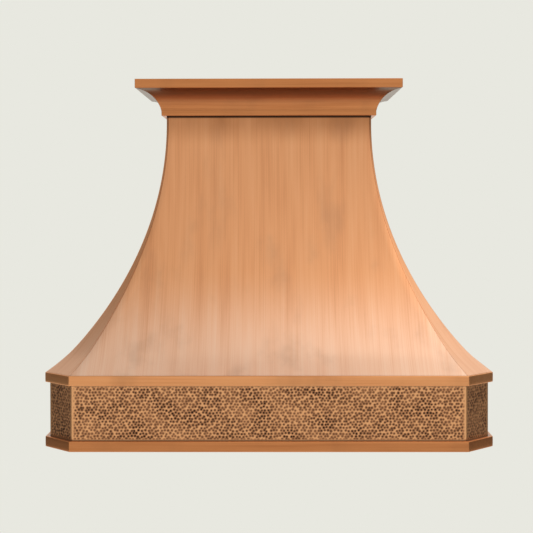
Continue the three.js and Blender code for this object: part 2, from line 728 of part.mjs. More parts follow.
// ---- Air path ----------------------------------------------------------------------------------

const blowerX = BLOWER_WIDTH / 2;
const blowerY = BLOWER_DEPTH / 2;

function plenumCone() {
  const foot = DECK_HEIGHT + GAP;
  const wall = GALVANISED * 2; // measured level, through the sloping sheet
  const skin = cut(
    hopper(plenumX, plenumY, foot, blowerX, blowerY, plenumTop),
    hopper(plenumX - wall, plenumY - wall, foot - 1, blowerX - wall, blowerY - wall, plenumTop + 1),
  );
  const flange = prism(rectangle(carrierX, carrierY), plenumTop - GALVANISED, plenumTop, [
    rectangle(blowerX - wall, blowerY - wall),
  ]);
  return join(skin, flange);
}
add("plenum_cone", galvanised, plenumCone());

add(
  "blower_box",
  galvanised,
  cut(
    prism(rectangle(blowerX, blowerY), plenumTop + GAP, blowerTop),
    prism(rectangle(blowerX - GALVANISED, blowerY - GALVANISED), plenumTop - 1, blowerTop - GALVANISED),
    prism(circle(DUCT_RADIUS - 1), blowerTop - 5, blowerTop + 1),
  ),
);

// Outline of the scroll in X and Z: the outlet wall straight down, then a spiral round the wheel.
function scrollOutline(by, top) {
  const steps = 30;
  const start = Math.PI;
  const end = 2 * Math.PI + Math.acos((SCROLL_WIDTH / 2 - wheelX) / SCROLL_FROM);
  const spiral = Array.from({ length: steps + 1 }, (_, i) => {
    const turn = start + ((end - start) * i) / steps;
    const radius = SCROLL_TO + ((SCROLL_FROM - SCROLL_TO) * i) / steps - by;
    return point(wheelX + radius * Math.cos(turn), wheelZ + radius * Math.sin(turn));
  });
  return [point(by - SCROLL_WIDTH / 2, top), ...spiral, point(SCROLL_WIDTH / 2 - by, top)];
}

function scrollHousing() {
  const top = blowerTop - GALVANISED - GAP;
  const outer = alongY(scrollOutline(0, top), -SCROLL_WIDTH / 2, SCROLL_WIDTH / 2);
  const half = SCROLL_WIDTH / 2 - GALVANISED;
  const inner = alongY(scrollOutline(GALVANISED, top + 1), -half, half);
  const inlets = alongY(circle(INLET_RADIUS, wheelX, wheelZ), -SCROLL_WIDTH, SCROLL_WIDTH);
  return cut(outer, inner, inlets);
}
add("scroll_housing", galvanised, scrollHousing());

// Squirrel-cage wheel: two end rings, a centre disc with its hub, and slanted blades.
function impeller() {
  const half = WHEEL_WIDTH / 2;
  const chord = 12;
  const mid = WHEEL_RADIUS - chord / 2;
  const rings = [-half, half - 2].map((y) =>
    alongY(circle(WHEEL_RADIUS, 0, 0, FINE), y, y + 2, [circle(WHEEL_RADIUS - chord, 0, 0, FINE)]));
  const disc = alongY(circle(WHEEL_RADIUS, 0, 0, FINE), -1, 1, [circle(SHAFT_RADIUS + GAP, 0, 0, SMALL)]);
  const hub = alongY(circle(HUB_RADIUS, 0, 0, MEDIUM), -10, 10, [circle(SHAFT_RADIUS + GAP, 0, 0, SMALL)]);
  const blades = Array.from({ length: BLADE_COUNT }, (_, i) => {
    const blade = new THREE.BoxGeometry(chord - 1, WHEEL_WIDTH - 1, 1.2);
    blade.rotateY(THREE.MathUtils.degToRad(35)).translate(mid, 0, 0);
    return blade.rotateY((2 * Math.PI * i) / BLADE_COUNT);
  });
  return join(...rings, disc, hub, ...blades).translate(wheelX, 0, wheelZ);
}
add("impeller", galvanised, impeller());

const motorFront = -16; // motor's inner end, just short of the wheel's hub
add("motor_shaft", blackSteel, alongY(circle(SHAFT_RADIUS, wheelX, wheelZ, SMALL), motorFront + GAP, 18));

// Motor in the front inlet, held by three arms on the scroll's side.
function motor() {
  const rear = GALVANISED + 6 - blowerY;
  const can = alongY(circle(MOTOR_RADIUS, 0, 0, FINE), rear, motorFront - 4);
  const nose = alongY(circle(MOTOR_RADIUS * 0.5, 0, 0, MEDIUM), motorFront - 5, motorFront);
  const armFrom = -SCROLL_WIDTH / 2 - GAP - STEEL;
  const arms = [0, 1, 2].map((i) =>
    alongY(rectangle(26, 8, MOTOR_RADIUS + 22, 0), armFrom, armFrom + STEEL).rotateY(
      THREE.MathUtils.degToRad(30 + 120 * i)));
  return join(can, nose, ...arms).translate(wheelX, 0, wheelZ);
}
add("motor", motorPaint, motor());

// Collar with a stop ring for the flaps and a base flange on the blower box.
const collarFoot = blowerTop + GAP;
const flapRadius = DUCT_RADIUS - GALVANISED - FLAP_GAP;
function ductCollar() {
  const bore = circle(DUCT_RADIUS - GALVANISED, 0, 0, FINE);
  const tube = prism(circle(DUCT_RADIUS, 0, 0, FINE), collarFoot, collarFoot + COLLAR_HEIGHT, [bore]);
  const rim = circle(DUCT_RADIUS + DUCT_FLANGE, 0, 0, FINE);
  const flange = prism(rim, collarFoot, collarFoot + GALVANISED, [bore]);
  const stopBore = circle(flapRadius - 4, 0, 0, FINE);
  const stop = prism(circle(DUCT_RADIUS - 0.5, 0, 0, FINE), flapZ - 3, flapZ - 1.5, [stopBore]);
  const past = DUCT_RADIUS + 5;
  const pivots = [-1, 1].map((side) => rodX(PIN_RADIUS + PIN_CLEAR, -past, past, side * FLAP_AXIS, flapZ));
  return cut(join(tube, flange, stop), ...pivots);
}
add("duct_collar", galvanised, ductCollar());

// Half-round flaps, each hinged on its own rod beside the middle of the collar.
for (const [name, side] of [["front", -1], ["rear", 1]]) {
  const edge = FLAP_AXIS;
  const steps = 20;
  const arc = Array.from({ length: steps + 1 }, (_, i) => {
    const reach = Math.acos(edge / flapRadius);
    const turn = -reach + (2 * reach * i) / steps;
    return point(flapRadius * Math.sin(turn), side * flapRadius * Math.cos(turn));
  });
  add(
    `damper_flap_${name}`,
    galvanised,
    join(
      prism(side < 0 ? arc : arc.reverse(), flapZ - 0.5, flapZ + 0.5),
      rodX(PIN_RADIUS, -DUCT_RADIUS - 2, DUCT_RADIUS + 2, side * edge, flapZ),
    ),
  );
}

const ductBore = circle(DUCT_RADIUS - GALVANISED, 0, 0, FINE);
add(
  "duct_pipe",
  galvanised,
  join(
    prism(circle(DUCT_RADIUS, 0, 0, FINE), collarFoot + COLLAR_HEIGHT + GAP, HEIGHT, [ductBore]),
    prism(circle(DUCT_RADIUS + DUCT_FLANGE, 0, 0, FINE), HEIGHT - GALVANISED, HEIGHT, [ductBore]),
  ),
);

// ---- Wiring ------------------------------------------------------------------------------------

const boxFront = -45;
const boxHeight = 45;
const boxFoot = blowerTop + GAP;
add(
  "junction_box",
  galvanised,
  join(
    prism(rectangle(BOX_HALF, -boxFront, boxX, 0), boxFoot, boxFoot + boxHeight),
    prism(rectangle(BOX_COVER, 3 - boxFront, boxX, 0), boxFoot + boxHeight - 8, boxFoot + boxHeight),
  ),
);

// Conduit from the junction box, over the blower box's edge and down outside the plenum to the switches.
const conduitEnd = panelTop + SWITCH_HEIGHT + GAP;
const conduitFoot = SWITCH_WIDTH / 2 - 40;
const conduitPath = new THREE.CatmullRomCurve3([
  new THREE.Vector3(boxX, boxFront - GAP, blowerTop + 20),
  new THREE.Vector3(boxX, boxFront - 24, blowerTop + 20),
  new THREE.Vector3(boxX, -blowerY + 3, blowerTop + 13),
  new THREE.Vector3(boxX, -blowerY - 9, blowerTop - 8),
  new THREE.Vector3(boxX, -blowerY - 12, blowerTop - 60),
  new THREE.Vector3(boxX, -blowerY - 14, blowerTop - 140),
  new THREE.Vector3(boxX - 6, -carrierY - 8, plenumTop + 60),
  new THREE.Vector3(boxX - 14, -carrierY - 14, plenumTop + 12),
  new THREE.Vector3((boxX + conduitFoot) / 2, -(carrierY + fixtureY) / 2 - 8, plenumTop - 40),
  new THREE.Vector3(conduitFoot, -fixtureY, conduitEnd + 30),
  new THREE.Vector3(conduitFoot, -fixtureY, conduitEnd + 15),
  new THREE.Vector3(conduitFoot, -fixtureY, conduitEnd),
]);
add(
  "control_conduit",
  galvanised,
  new THREE.ExtrudeGeometry(new THREE.Shape(circle(CONDUIT_RADIUS, 0, 0, 8)), {
    steps: 40,
    extrudePath: conduitPath,
    bevelEnabled: false,
  }),
);

export default hood;
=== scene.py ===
import math

import bpy
import numpy as np
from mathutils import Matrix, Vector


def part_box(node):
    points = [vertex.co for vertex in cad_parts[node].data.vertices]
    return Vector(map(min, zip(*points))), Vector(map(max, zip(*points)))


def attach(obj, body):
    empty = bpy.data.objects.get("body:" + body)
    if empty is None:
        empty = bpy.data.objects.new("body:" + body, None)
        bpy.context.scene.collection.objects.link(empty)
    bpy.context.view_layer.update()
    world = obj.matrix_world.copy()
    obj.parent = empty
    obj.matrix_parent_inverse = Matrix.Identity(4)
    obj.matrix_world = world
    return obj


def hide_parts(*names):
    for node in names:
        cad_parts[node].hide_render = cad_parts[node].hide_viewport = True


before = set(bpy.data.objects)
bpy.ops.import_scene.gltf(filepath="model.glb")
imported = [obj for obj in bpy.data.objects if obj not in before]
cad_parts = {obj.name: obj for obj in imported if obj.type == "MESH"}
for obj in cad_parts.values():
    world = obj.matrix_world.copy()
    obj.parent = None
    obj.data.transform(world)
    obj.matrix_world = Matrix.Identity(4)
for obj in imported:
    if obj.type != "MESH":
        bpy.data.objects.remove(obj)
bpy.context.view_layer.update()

mm = 0.001
bpy.context.scene.view_settings.view_transform = "Standard"  # colours as given, with no film curve

rimLow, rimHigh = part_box("lower_trim")
ledgeLow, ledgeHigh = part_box("upper_trim")
frontLow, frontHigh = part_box("body_front")
leftLow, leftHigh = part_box("body_left")
crownLow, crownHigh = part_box("crown_front")
sheet = 1.5 * mm
halfX, halfY = rimHigh.x, rimHigh.y
cornerCut = 58 * mm
bodyFoot, bodyTop = frontLow.z, frontHigh.z


def linear(hexColour):
    # sRGB hex to linear: each channel over 12.92 when dark, else ((c + 0.055) / 1.055) to the 2.4
    rgb = np.array([int(hexColour[i : i + 2], 16) for i in (1, 3, 5)]) / 255
    out = np.where(rgb <= 0.04045, rgb / 12.92, ((rgb + 0.055) / 1.055) ** 2.4)
    return (*[float(c) for c in out], 1.0)


def addNode(tree, kind, settings=None, **sockets):
    # adds one node; a socket is given a value, or another node's output to be linked to
    node = tree.nodes.new(kind)
    for key, value in (settings or {}).items():
        setattr(node, key, value)
    for key, value in sockets.items():
        name = key.replace("_", " ")  # From_Min is the socket From Min, and i6 is input number 6
        byNumber = name[0] == "i" and name[1:].isdigit()
        socket = node.inputs[int(name[1:]) if byNumber else name]
        if isinstance(value, bpy.types.NodeSocket):
            tree.links.new(value, socket)
        else:
            socket.default_value = value
    return node


def smooth(x):
    # 3x^2 - 2x^3 between 0 and 1
    x = np.clip(x, 0, 1)
    return x * x * (3 - 2 * x)


def putMesh(name, points, faces, material, body, nodes, sharp=35, attributes=None):
    # a mesh from arrays of points and faces, outward by its signed volume, standing for CAD nodes
    mesh = bpy.data.meshes.new(name)
    mesh.from_pydata(points.tolist(), [], [list(map(int, f)) for f in faces])
    mesh.validate()
    tri = np.zeros(len(mesh.loop_triangles) * 3, np.int32)
    mesh.loop_triangles.foreach_get("vertices", tri)
    a, b, c = (points[tri.reshape(-1, 3)[:, i]] for i in range(3))
    if np.einsum("ij,ij->i", a, np.cross(b, c)).sum() < 0:
        mesh.flip_normals()
    for key, values in (attributes or {}).items():
        values = np.asarray(values, np.float32)
        vector = values.ndim == 2
        layer = mesh.attributes.new(key, "FLOAT_VECTOR" if vector else "FLOAT", "POINT")
        layer.data.foreach_set("vector" if vector else "value", values.ravel())
    mesh.shade_smooth()
    mesh.set_sharp_from_angle(angle=math.radians(sharp))
    mesh.materials.append(material)
    obj = bpy.data.objects.new(name, mesh)
    bpy.context.scene.collection.objects.link(obj)
    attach(obj, body)
    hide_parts(*nodes)
    return obj


def gridFaces(rows, columns, closeRows=False, closeColumns=False):
    # quads of a rows x columns grid of points, joined round where asked
    r = np.arange(rows if closeRows else rows - 1)
    c = np.arange(columns if closeColumns else columns - 1)
    i, j = np.meshgrid(r, c, indexing="ij")
    iNext, jNext = (i + 1) % rows, (j + 1) % columns
    quads = np.stack([
        i * columns + j, i * columns + jNext, iNext * columns + jNext, iNext * columns + j], -1)
    return quads.reshape(-1, 4).tolist()


def roundedPath(points, radius, steps=5):
    # a path whose inner corners are arcs: each arc blends the two tangents by a quadratic curve
    points = np.asarray(points, float)
    out = [points[0]]
    for before, here, after in zip(points[:-2], points[1:-1], points[2:]):
        back, ahead = before - here, after - here
        reach = min(radius, 0.45 * np.linalg.norm(back), 0.45 * np.linalg.norm(ahead))
        start = here + back / np.linalg.norm(back) * reach
        end = here + ahead / np.linalg.norm(ahead) * reach
        t = np.linspace(0, 1, steps)[:, None]
        out.extend((1 - t) ** 2 * start + 2 * t * (1 - t) * here + t**2 * end)
    out.append(points[-1])
    return np.array(out)


def setIn(path, thickness):
    # the path's inner side: each corner goes to where its two lines, moved in by the thickness, meet
    ahead = np.diff(path, axis=0)
    ahead /= np.linalg.norm(ahead, axis=1)[:, None]
    side = np.stack([-ahead[:, 1], ahead[:, 0]], 1)
    before, after = np.vstack([side[:1], side]), np.vstack([side, side[-1:]])
    return path + thickness * (before + after) / (1 + (before * after).sum(1))[:, None]


def lathe(outline, x, y, turns=64):
    # a closed outline of radius and height carried round the upright axis through x, y
    angle = np.linspace(0, 2 * math.pi, turns, endpoint=False)
    r, z = outline[:, 0], outline[:, 1]
    points = np.stack([
        x + np.outer(np.cos(angle), r), y + np.outer(np.sin(angle), r), np.tile(z, (turns, 1))], -1)
    return points.reshape(-1, 3), gridFaces(turns, len(outline), True, True)


def solidLathe(outline, x, y, turns=64):
    # an outline from axis to axis carried round it: its first and last points are poles, and a fan of
    # triangles closes each
    inner = outline[1:-1]
    points, _ = lathe(inner, x, y, turns)
    columns = len(inner)
    faces = gridFaces(turns, columns, True)
    low, high = len(points), len(points) + 1
    points = np.vstack([points, [[x, y, outline[0, 1]], [x, y, outline[-1, 1]]]])
    k = np.arange(turns)
    nextK = (k + 1) % turns
    faces += [[low, a, b] for a, b in zip(k * columns, nextK * columns)]
    faces += [[high, b, a] for a, b in zip(k * columns + columns - 1, nextK * columns + columns - 1)]
    return points, faces


def newMaterial(name):
    # an empty material with one shader joined to its output
    material = bpy.data.materials.new(name)
    material.use_nodes = True
    tree = material.node_tree
    tree.nodes.clear()
    shader = addNode(tree, "ShaderNodeBsdfPrincipled")
    addNode(tree, "ShaderNodeOutputMaterial", Surface=shader.outputs["BSDF"])
    return material, tree, shader


# the foot keys paint a highlight towards the foot; the under-crown keys and shade paint a shadow below the
# crown; the crevice key paints a black shadow right under it
bodyLook = {
    "bright": "#f8b586", "middle": "#f3ab7a", "brown": "#e49b6c", "smudge": "#a87f68",
    "smudgeAmount": 0.3, "foot": "#ffd3ba", "footHighlightAmount": 0.8, "footHighlightMm": 210, "shade": "#b9794d",
    "crownShadowAmount": 1.5, "crownShadowMm": 70, "creviceShadow": 0.93,
    "fineMm": 1.9, "wideMm": 24, "lengthMm": 380, "smudgeMm": 80, "rough": (0.35, 0.29), "coat": 0.2,
}
trimLook = {
    "bright": "#e0945e", "middle": "#d98c57", "brown": "#ca7f4d", "smudge": "#8f6144",
    "smudgeAmount": 0.3, "foot": "#e3b095", "footHighlightAmount": 0.0, "footHighlightMm": 210, "shade": "#b9794d",
    "crownShadowAmount": 0.0, "crownShadowMm": 70, "creviceShadow": 0.0,
    "fineMm": 1.7, "wideMm": 9, "lengthMm": 260, "smudgeMm": 120, "rough": (0.34, 0.28), "coat": 0.1,
}
# the corner panels' copy differs only in a weaker painted highlight at the foot
cornerLook = dict(bodyLook, footHighlightAmount=0.42)
bandLook = dict(trimLook, bright="#ffb87e", middle="#fcae75", brown="#efa068")
# brown for patina and painted shade in recesses; black for the painted shadow under the crown
patinaAndShadeBrown, creviceShadowBlack = "#75604f", "#1c120c"
smoothStep = {"interpolation_type": "SMOOTHSTEP"}


def brushedCopper(name, look):
    # copper sheet, brushed with an abrasive pad and lacquered: long streaks along the brushing, brown
    # clouds where the patina was left, brown in recesses that the mesh marks (patina and painted shade), a
    # painted highlight in pale streaks towards the foot, painted shadow in brown patches below the crown
    # and painted shadow in black in the crevice right under it. Real scratches are about 0.3 mm wide, too
    # fine to show, so the finest are drawn nearly 2 mm wide
    material, tree, shader = newMaterial(name)
    place = addNode(tree, "ShaderNodeTexCoord").outputs["Object"]
    grain = addNode(tree, "ShaderNodeAttribute", {"attribute_name": "grain"}).outputs["Vector"]
    streaks = []
    for width, detail in ((look["fineMm"], 3.0), (look["wideMm"], 2.0)):
        turned = addNode(tree, "ShaderNodeMapping", Vector=grain,
                         Scale=(1 / (width * mm), 1 / (look["lengthMm"] * mm), 1.0))
        streaks.append(addNode(tree, "ShaderNodeTexNoise", Vector=turned.outputs[0], Scale=1.0,
                               Detail=detail, Roughness=0.6).outputs[0])
    both = addNode(tree, "ShaderNodeMath", {"operation": "ADD"}, i0=streaks[0], i1=streaks[1])
    tone = addNode(tree, "ShaderNodeMath", {"operation": "MULTIPLY"}, i0=both.outputs[0], i1=0.5)
    ramp = addNode(tree, "ShaderNodeValToRGB", Fac=tone.outputs[0])
    stops = ramp.color_ramp.elements
    stops[0].position, stops[0].color = 0.32, linear(look["brown"])
    stops[1].position, stops[1].color = 0.68, linear(look["bright"])
    stops.new(0.5).color = linear(look["middle"])
    cloudPlace = addNode(tree, "ShaderNodeMapping", Vector=place, Scale=(1.0, 1.0, 0.35))
    cloud = addNode(tree, "ShaderNodeTexNoise", Vector=cloudPlace.outputs[0],
                    Scale=1 / (look["smudgeMm"] * mm), Detail=4.0, Roughness=0.5)
    spread = addNode(tree, "ShaderNodeMapRange", smoothStep, Value=cloud.outputs[0], From_Min=0.5,
                     From_Max=0.8, To_Max=look["smudgeAmount"])
    height = addNode(tree, "ShaderNodeSeparateXYZ", Vector=place).outputs["Z"]
    # painted shadow: brown below the crown, broken into patches by the clouds
    crownShadow = addNode(tree, "ShaderNodeMapRange", smoothStep, Value=height, To_Max=look["crownShadowAmount"],
                    From_Min=crownLow.z - look["crownShadowMm"] * mm, From_Max=crownLow.z - 5 * mm)
    crownShadowPatches = addNode(tree, "ShaderNodeMath", {"operation": "MULTIPLY", "use_clamp": True},
                     i0=crownShadow.outputs[0], i1=cloud.outputs[0])
    # painted highlight: pale towards the foot, in the brushed streaks
    foot = addNode(tree, "ShaderNodeMapRange", smoothStep, Value=height, To_Max=2 * look["footHighlightAmount"],
                   From_Min=bodyFoot + look["footHighlightMm"] * mm, From_Max=bodyFoot)
    footHighlight = addNode(tree, "ShaderNodeMath", {"operation": "MULTIPLY", "use_clamp": True},
                      i0=foot.outputs[0], i1=tone.outputs[0])
    # brown where the mesh marks it: patina and painted shade in recesses
    patinaAndShade = addNode(tree, "ShaderNodeAttribute", {"attribute_name": "patinaAndShade"}).outputs["Fac"]
    # painted shadow: black in the crevice right under the crown
    paintedCreviceShadow = addNode(tree, "ShaderNodeMapRange", smoothStep, Value=height, To_Max=look["creviceShadow"],
                    From_Min=crownLow.z - 6 * mm, From_Max=crownLow.z - 2.5 * mm)
    colour = ramp.outputs[0]
    for amount, over in ((footHighlight.outputs[0], look["foot"]), (crownShadowPatches.outputs[0], look["shade"]),
                         (spread.outputs[0], look["smudge"]), (patinaAndShade, patinaAndShadeBrown),
                         (paintedCreviceShadow.outputs[0], creviceShadowBlack)):
        colour = addNode(tree, "ShaderNodeMix", {"data_type": "RGBA"}, i0=amount, i6=colour,
                         i7=linear(over)).outputs[2]
    tree.links.new(colour, shader.inputs["Base Color"])
    shader.inputs["Metallic"].default_value = 1.0
    shader.inputs["Coat Weight"].default_value = look["coat"]
    shader.inputs["Coat Roughness"].default_value = 0.3
    rough = addNode(tree, "ShaderNodeMapRange", Value=tone.outputs[0], To_Min=look["rough"][0],
                    To_Max=look["rough"][1])
    tree.links.new(rough.outputs[0], shader.inputs["Roughness"])
    bump = addNode(tree, "ShaderNodeBump", Strength=0.06, Distance=0.0003, Height=streaks[0])
    tree.links.new(bump.outputs[0], shader.inputs["Normal"])
    return material


hammerLook = {
    "polished": "#ffbd87", "ground": "#c0865f", "dark": "#33231b", "patchMm": 48, "wiped": (0.7, 1.15),
    "rough": (0.3, 0.5), "fineMm": 0.7,
}


def hammeredCopper(name, look):
    # copper planished with a ball hammer, blackened, then wiped: dark in each dimple, bright between,
    # wiped harder in some patches than in others, and browned along the edges by the bands as painted
    # shade. The fine pitting left by the blackening is drawn at 0.7 mm, coarser than it is, and still only
    # a near view shows it
    material, tree, shader = newMaterial(name)
    place = addNode(tree, "ShaderNodeTexCoord").outputs["Object"]
    dimple = addNode(tree, "ShaderNodeAttribute", {"attribute_name": "dimple"}).outputs["Fac"]
    cloud = addNode(tree, "ShaderNodeTexNoise", Vector=place, Scale=1 / (look["patchMm"] * mm),
                    Detail=3.0)
    wiped = addNode(tree, "ShaderNodeMapRange", Value=cloud.outputs[0], From_Min=0.3, From_Max=0.7,
                    To_Min=look["wiped"][0], To_Max=look["wiped"][1])
    depth = addNode(tree, "ShaderNodeMath", {"operation": "MULTIPLY"}, i0=dimple, i1=wiped.outputs[0])
    ramp = addNode(tree, "ShaderNodeValToRGB", Fac=depth.outputs[0])
    stops = ramp.color_ramp.elements
    stops[0].position, stops[0].color = 0.06, linear(look["polished"])
    stops[1].position, stops[1].color = 0.97, linear(look["dark"])
    stops.new(0.5).color = linear(look["ground"])
    # brown where the mesh marks it: painted shade along the apron's top and bottom edges
    patinaAndShade = addNode(tree, "ShaderNodeAttribute", {"attribute_name": "patinaAndShade"}).outputs["Fac"]
    browned = addNode(tree, "ShaderNodeMix", {"data_type": "RGBA"}, i0=patinaAndShade, i6=ramp.outputs[0],
                      i7=linear(patinaAndShadeBrown))
    tree.links.new(browned.outputs[2], shader.inputs["Base Color"])
    shader.inputs["Metallic"].default_value = 1.0
    rough = addNode(tree, "ShaderNodeMapRange", Value=depth.outputs[0], To_Min=look["rough"][0],
                    To_Max=look["rough"][1])
    tree.links.new(rough.outputs[0], shader.inputs["Roughness"])
    fine = addNode(tree, "ShaderNodeTexNoise", Vector=place, Scale=1 / (look["fineMm"] * mm), Detail=2.0)
    bump = addNode(tree, "ShaderNodeBump", Strength=0.08, Distance=0.0002, Height=fine.outputs[0])
    tree.links.new(bump.outputs[0], shader.inputs["Normal"])
    return material


def brushedSteel(name, colour, grainMm=0.7, rough=(0.24, 0.4), along="x"):
    # rolled stainless sheet with a belt-brushed grain: long fine scratches in one direction. Real ones
    # are about 0.1 mm wide; they are drawn 0.3 to 0.7 mm wide, which still only a near view shows
    material, tree, shader = newMaterial(name)
    place = addNode(tree, "ShaderNodeTexCoord").outputs["Object"]
    fine, drawn = 1 / (grainMm * mm), 1 / (120 * mm)
    scale = (drawn, fine, fine) if along == "x" else (fine, drawn, fine)
    streakPlace = addNode(tree, "ShaderNodeMapping", Vector=place, Scale=scale)
    streak = addNode(tree, "ShaderNodeTexNoise", Vector=streakPlace.outputs[0], Scale=1.0, Detail=3.0)
    tone = addNode(tree, "ShaderNodeValToRGB", Fac=streak.outputs[0])
    base = np.array(linear(colour)[:3])
    tone.color_ramp.elements[0].position = 0.3
    tone.color_ramp.elements[0].color = (*(base * 0.82), 1)
    tone.color_ramp.elements[1].position = 0.7
    tone.color_ramp.elements[1].color = (*np.minimum(base * 1.1, 1), 1)
    tree.links.new(tone.outputs[0], shader.inputs["Base Color"])
    shader.inputs["Metallic"].default_value = 1.0
    spread = addNode(tree, "ShaderNodeMapRange", Value=streak.outputs[0], To_Min=rough[1],
                     To_Max=rough[0])
    tree.links.new(spread.outputs[0], shader.inputs["Roughness"])
    bump = addNode(tree, "ShaderNodeBump", Strength=0.1, Distance=0.0002, Height=streak.outputs[0])
    tree.links.new(bump.outputs[0], shader.inputs["Normal"])
    return material


def galvanisedSteel(name):
    # hot-dip zinc on steel sheet: flat grey spangles about 9 mm across, each a little lighter or darker
    material, tree, shader = newMaterial(name)
    place = addNode(tree, "ShaderNodeTexCoord").outputs["Object"]
    spangle = addNode(tree, "ShaderNodeTexVoronoi", Vector=place, Scale=1 / (9 * mm))
    grey = addNode(tree, "ShaderNodeSeparateColor", Color=spangle.outputs["Color"])
    tone = addNode(tree, "ShaderNodeValToRGB", Fac=grey.outputs[0])
    tone.color_ramp.elements[0].color = linear("#8e9396")
    tone.color_ramp.elements[1].color = linear("#b9bec0")
    tree.links.new(tone.outputs[0], shader.inputs["Base Color"])
    shader.inputs["Metallic"].default_value = 0.9
    spread = addNode(tree, "ShaderNodeMapRange", Value=grey.outputs[1], To_Min=0.38, To_Max=0.55)
    tree.links.new(spread.outputs[0], shader.inputs["Roughness"])
    return material


def paintedSteel(name, colour, grainMm=1.6, rough=0.45):
    # powder-coated steel: an even colour over a fine orange-peel texture
    material, tree, shader = newMaterial(name)
    place = addNode(tree, "ShaderNodeTexCoord").outputs["Object"]
    peel = addNode(tree, "ShaderNodeTexNoise", Vector=place, Scale=1 / (grainMm * mm), Detail=2.0)
    tone = addNode(tree, "ShaderNodeValToRGB", Fac=peel.outputs[0])
    base = np.array(linear(colour)[:3])
    tone.color_ramp.elements[0].color = (*(base * 0.85), 1)
    tone.color_ramp.elements[1].color = (*np.minimum(base * 1.15, 1), 1)
    tree.links.new(tone.outputs[0], shader.inputs["Base Color"])
    shader.inputs["Roughness"].default_value = rough
    bump = addNode(tree, "ShaderNodeBump", Strength=0.15, Distance=0.0002, Height=peel.outputs[0])
    tree.links.new(bump.outputs[0], shader.inputs["Normal"])
    return material


def frostedGlass(name):
    # etched lamp glass: milky, with no clear view of the bulb. The etch is far finer than 0.1 mm and is
    # drawn at 0.8 mm, which still only a near view shows
    material, tree, shader = newMaterial(name)
    place = addNode(tree, "ShaderNodeTexCoord").outputs["Object"]
    grain = addNode(tree, "ShaderNodeTexNoise", Vector=place, Scale=1 / (0.8 * mm), Detail=2.0)
    tone = addNode(tree, "ShaderNodeValToRGB", Fac=grain.outputs[0])
    tone.color_ramp.elements[0].color = linear("#e4e0d2")
    tone.color_ramp.elements[1].color = linear("#f7f4ea")
    tree.links.new(tone.outputs[0], shader.inputs["Base Color"])
    shader.inputs["Roughness"].default_value = 0.45
    shader.inputs["Transmission Weight"].default_value = 0.25
    bump = addNode(tree, "ShaderNodeBump", Strength=0.1, Distance=0.0002, Height=grain.outputs[0])
    tree.links.new(bump.outputs[0], shader.inputs["Normal"])
    return material


bodyCopper = brushedCopper("brushed_copper_body", bodyLook)
cornerCopper = brushedCopper("brushed_copper_corner", cornerLook)
trimCopper = brushedCopper("brushed_copper_trim", trimLook)
bandCopper = brushedCopper("brushed_copper_band", bandLook)
apronCopper = hammeredCopper("hammered_copper", hammerLook)
linerSteel = brushedSteel("brushed_stainless_liner", "#c6c8ca")
filterSteel = brushedSteel("brushed_stainless_filter", "#b9bcbf", along="y", rough=(0.2, 0.34))
smallSteel = brushedSteel("brushed_stainless_small", "#cccdce", grainMm=0.4)
shaftSteel = brushedSteel("ground_steel_shaft", "#a6a8aa", grainMm=0.3, along="y")
zinc = galvanisedSteel("galvanised_steel")
blackPaint = paintedSteel("black_powder_coat", "#232426")
motorPaint = paintedSteel("motor_enamel", "#3a3f45", rough=0.4)
lampGlass = frostedGlass("frosted_lamp_glass")
print("materials made")


shell = {
    "neckCut": 3.5 * mm, "straight": 14 * mm, "flareDegrees": 46, "kickHeight": 33 * mm, "kickEase": 0.14,
    "kickOut": 9.5 * mm, "cutGrowth": 1.6, "foldRadius": 1.6 * mm, "foldDepth": 0.55, "seam": 0.15 * mm,
    "rows": 150, "columns": 46, "wave": 0.13 * mm, "plainSide": 30 * mm, "plainEnd": 50 * mm,
    "waves": ((9, 31, 1, 1.0), (23, -11, 2, 0.6), (5, 14, 0, 0.4)),  # across, up, by panel, share
}
halfTurn = math.tan(math.pi / 8)  # a mitre's slope between two faces that turn by 45 degrees
footX, footY = -leftLow.x, -frontLow.y
neckX, neckY = sheet - leftHigh.x, sheet - frontHigh.y
flareTop = crownLow.z - shell["straight"]


def octagon(x, y, cut):
    # corners of a rectangle with cut corners, counter-clockwise from the right side's front end
    return np.stack([
        np.stack([x, cut - y], -1), np.stack([x, y - cut], -1), np.stack([x - cut, y], -1),
        np.stack([cut - x, y], -1), np.stack([-x, y - cut], -1), np.stack([-x, cut - y], -1),
        np.stack([cut - x, -y], -1), np.stack([x - cut, -y], -1)], -2)


def insetOctagon(x, y, cut, by):
    # all eight sides moved in; a cut corner then loses 2 - sqrt(2) times as much
    return octagon(x - by, y - by, cut - by * (2 - math.sqrt(2)))


def flareShare(z):
    # how far out the body is, 0 at the neck and 1 at the foot: an arc, plus a kick at the eaves that
    # is straight at the foot and eases into the arc
    radius = (flareTop - bodyFoot) / math.sin(math.radians(shell["flareDegrees"]))
    whole = radius - math.sqrt(radius**2 - (flareTop - bodyFoot) ** 2) + shell["kickOut"]
    drop = np.maximum(0, flareTop - z)
    k, ease = 1 - (z - bodyFoot) / shell["kickHeight"], shell["kickEase"]
    kick = shell["kickOut"] * (k + np.sqrt(k**2 + ease)) / (1 + math.sqrt(1 + ease))
    return np.minimum(1, (radius - np.sqrt(radius**2 - drop**2) + kick) / whole)


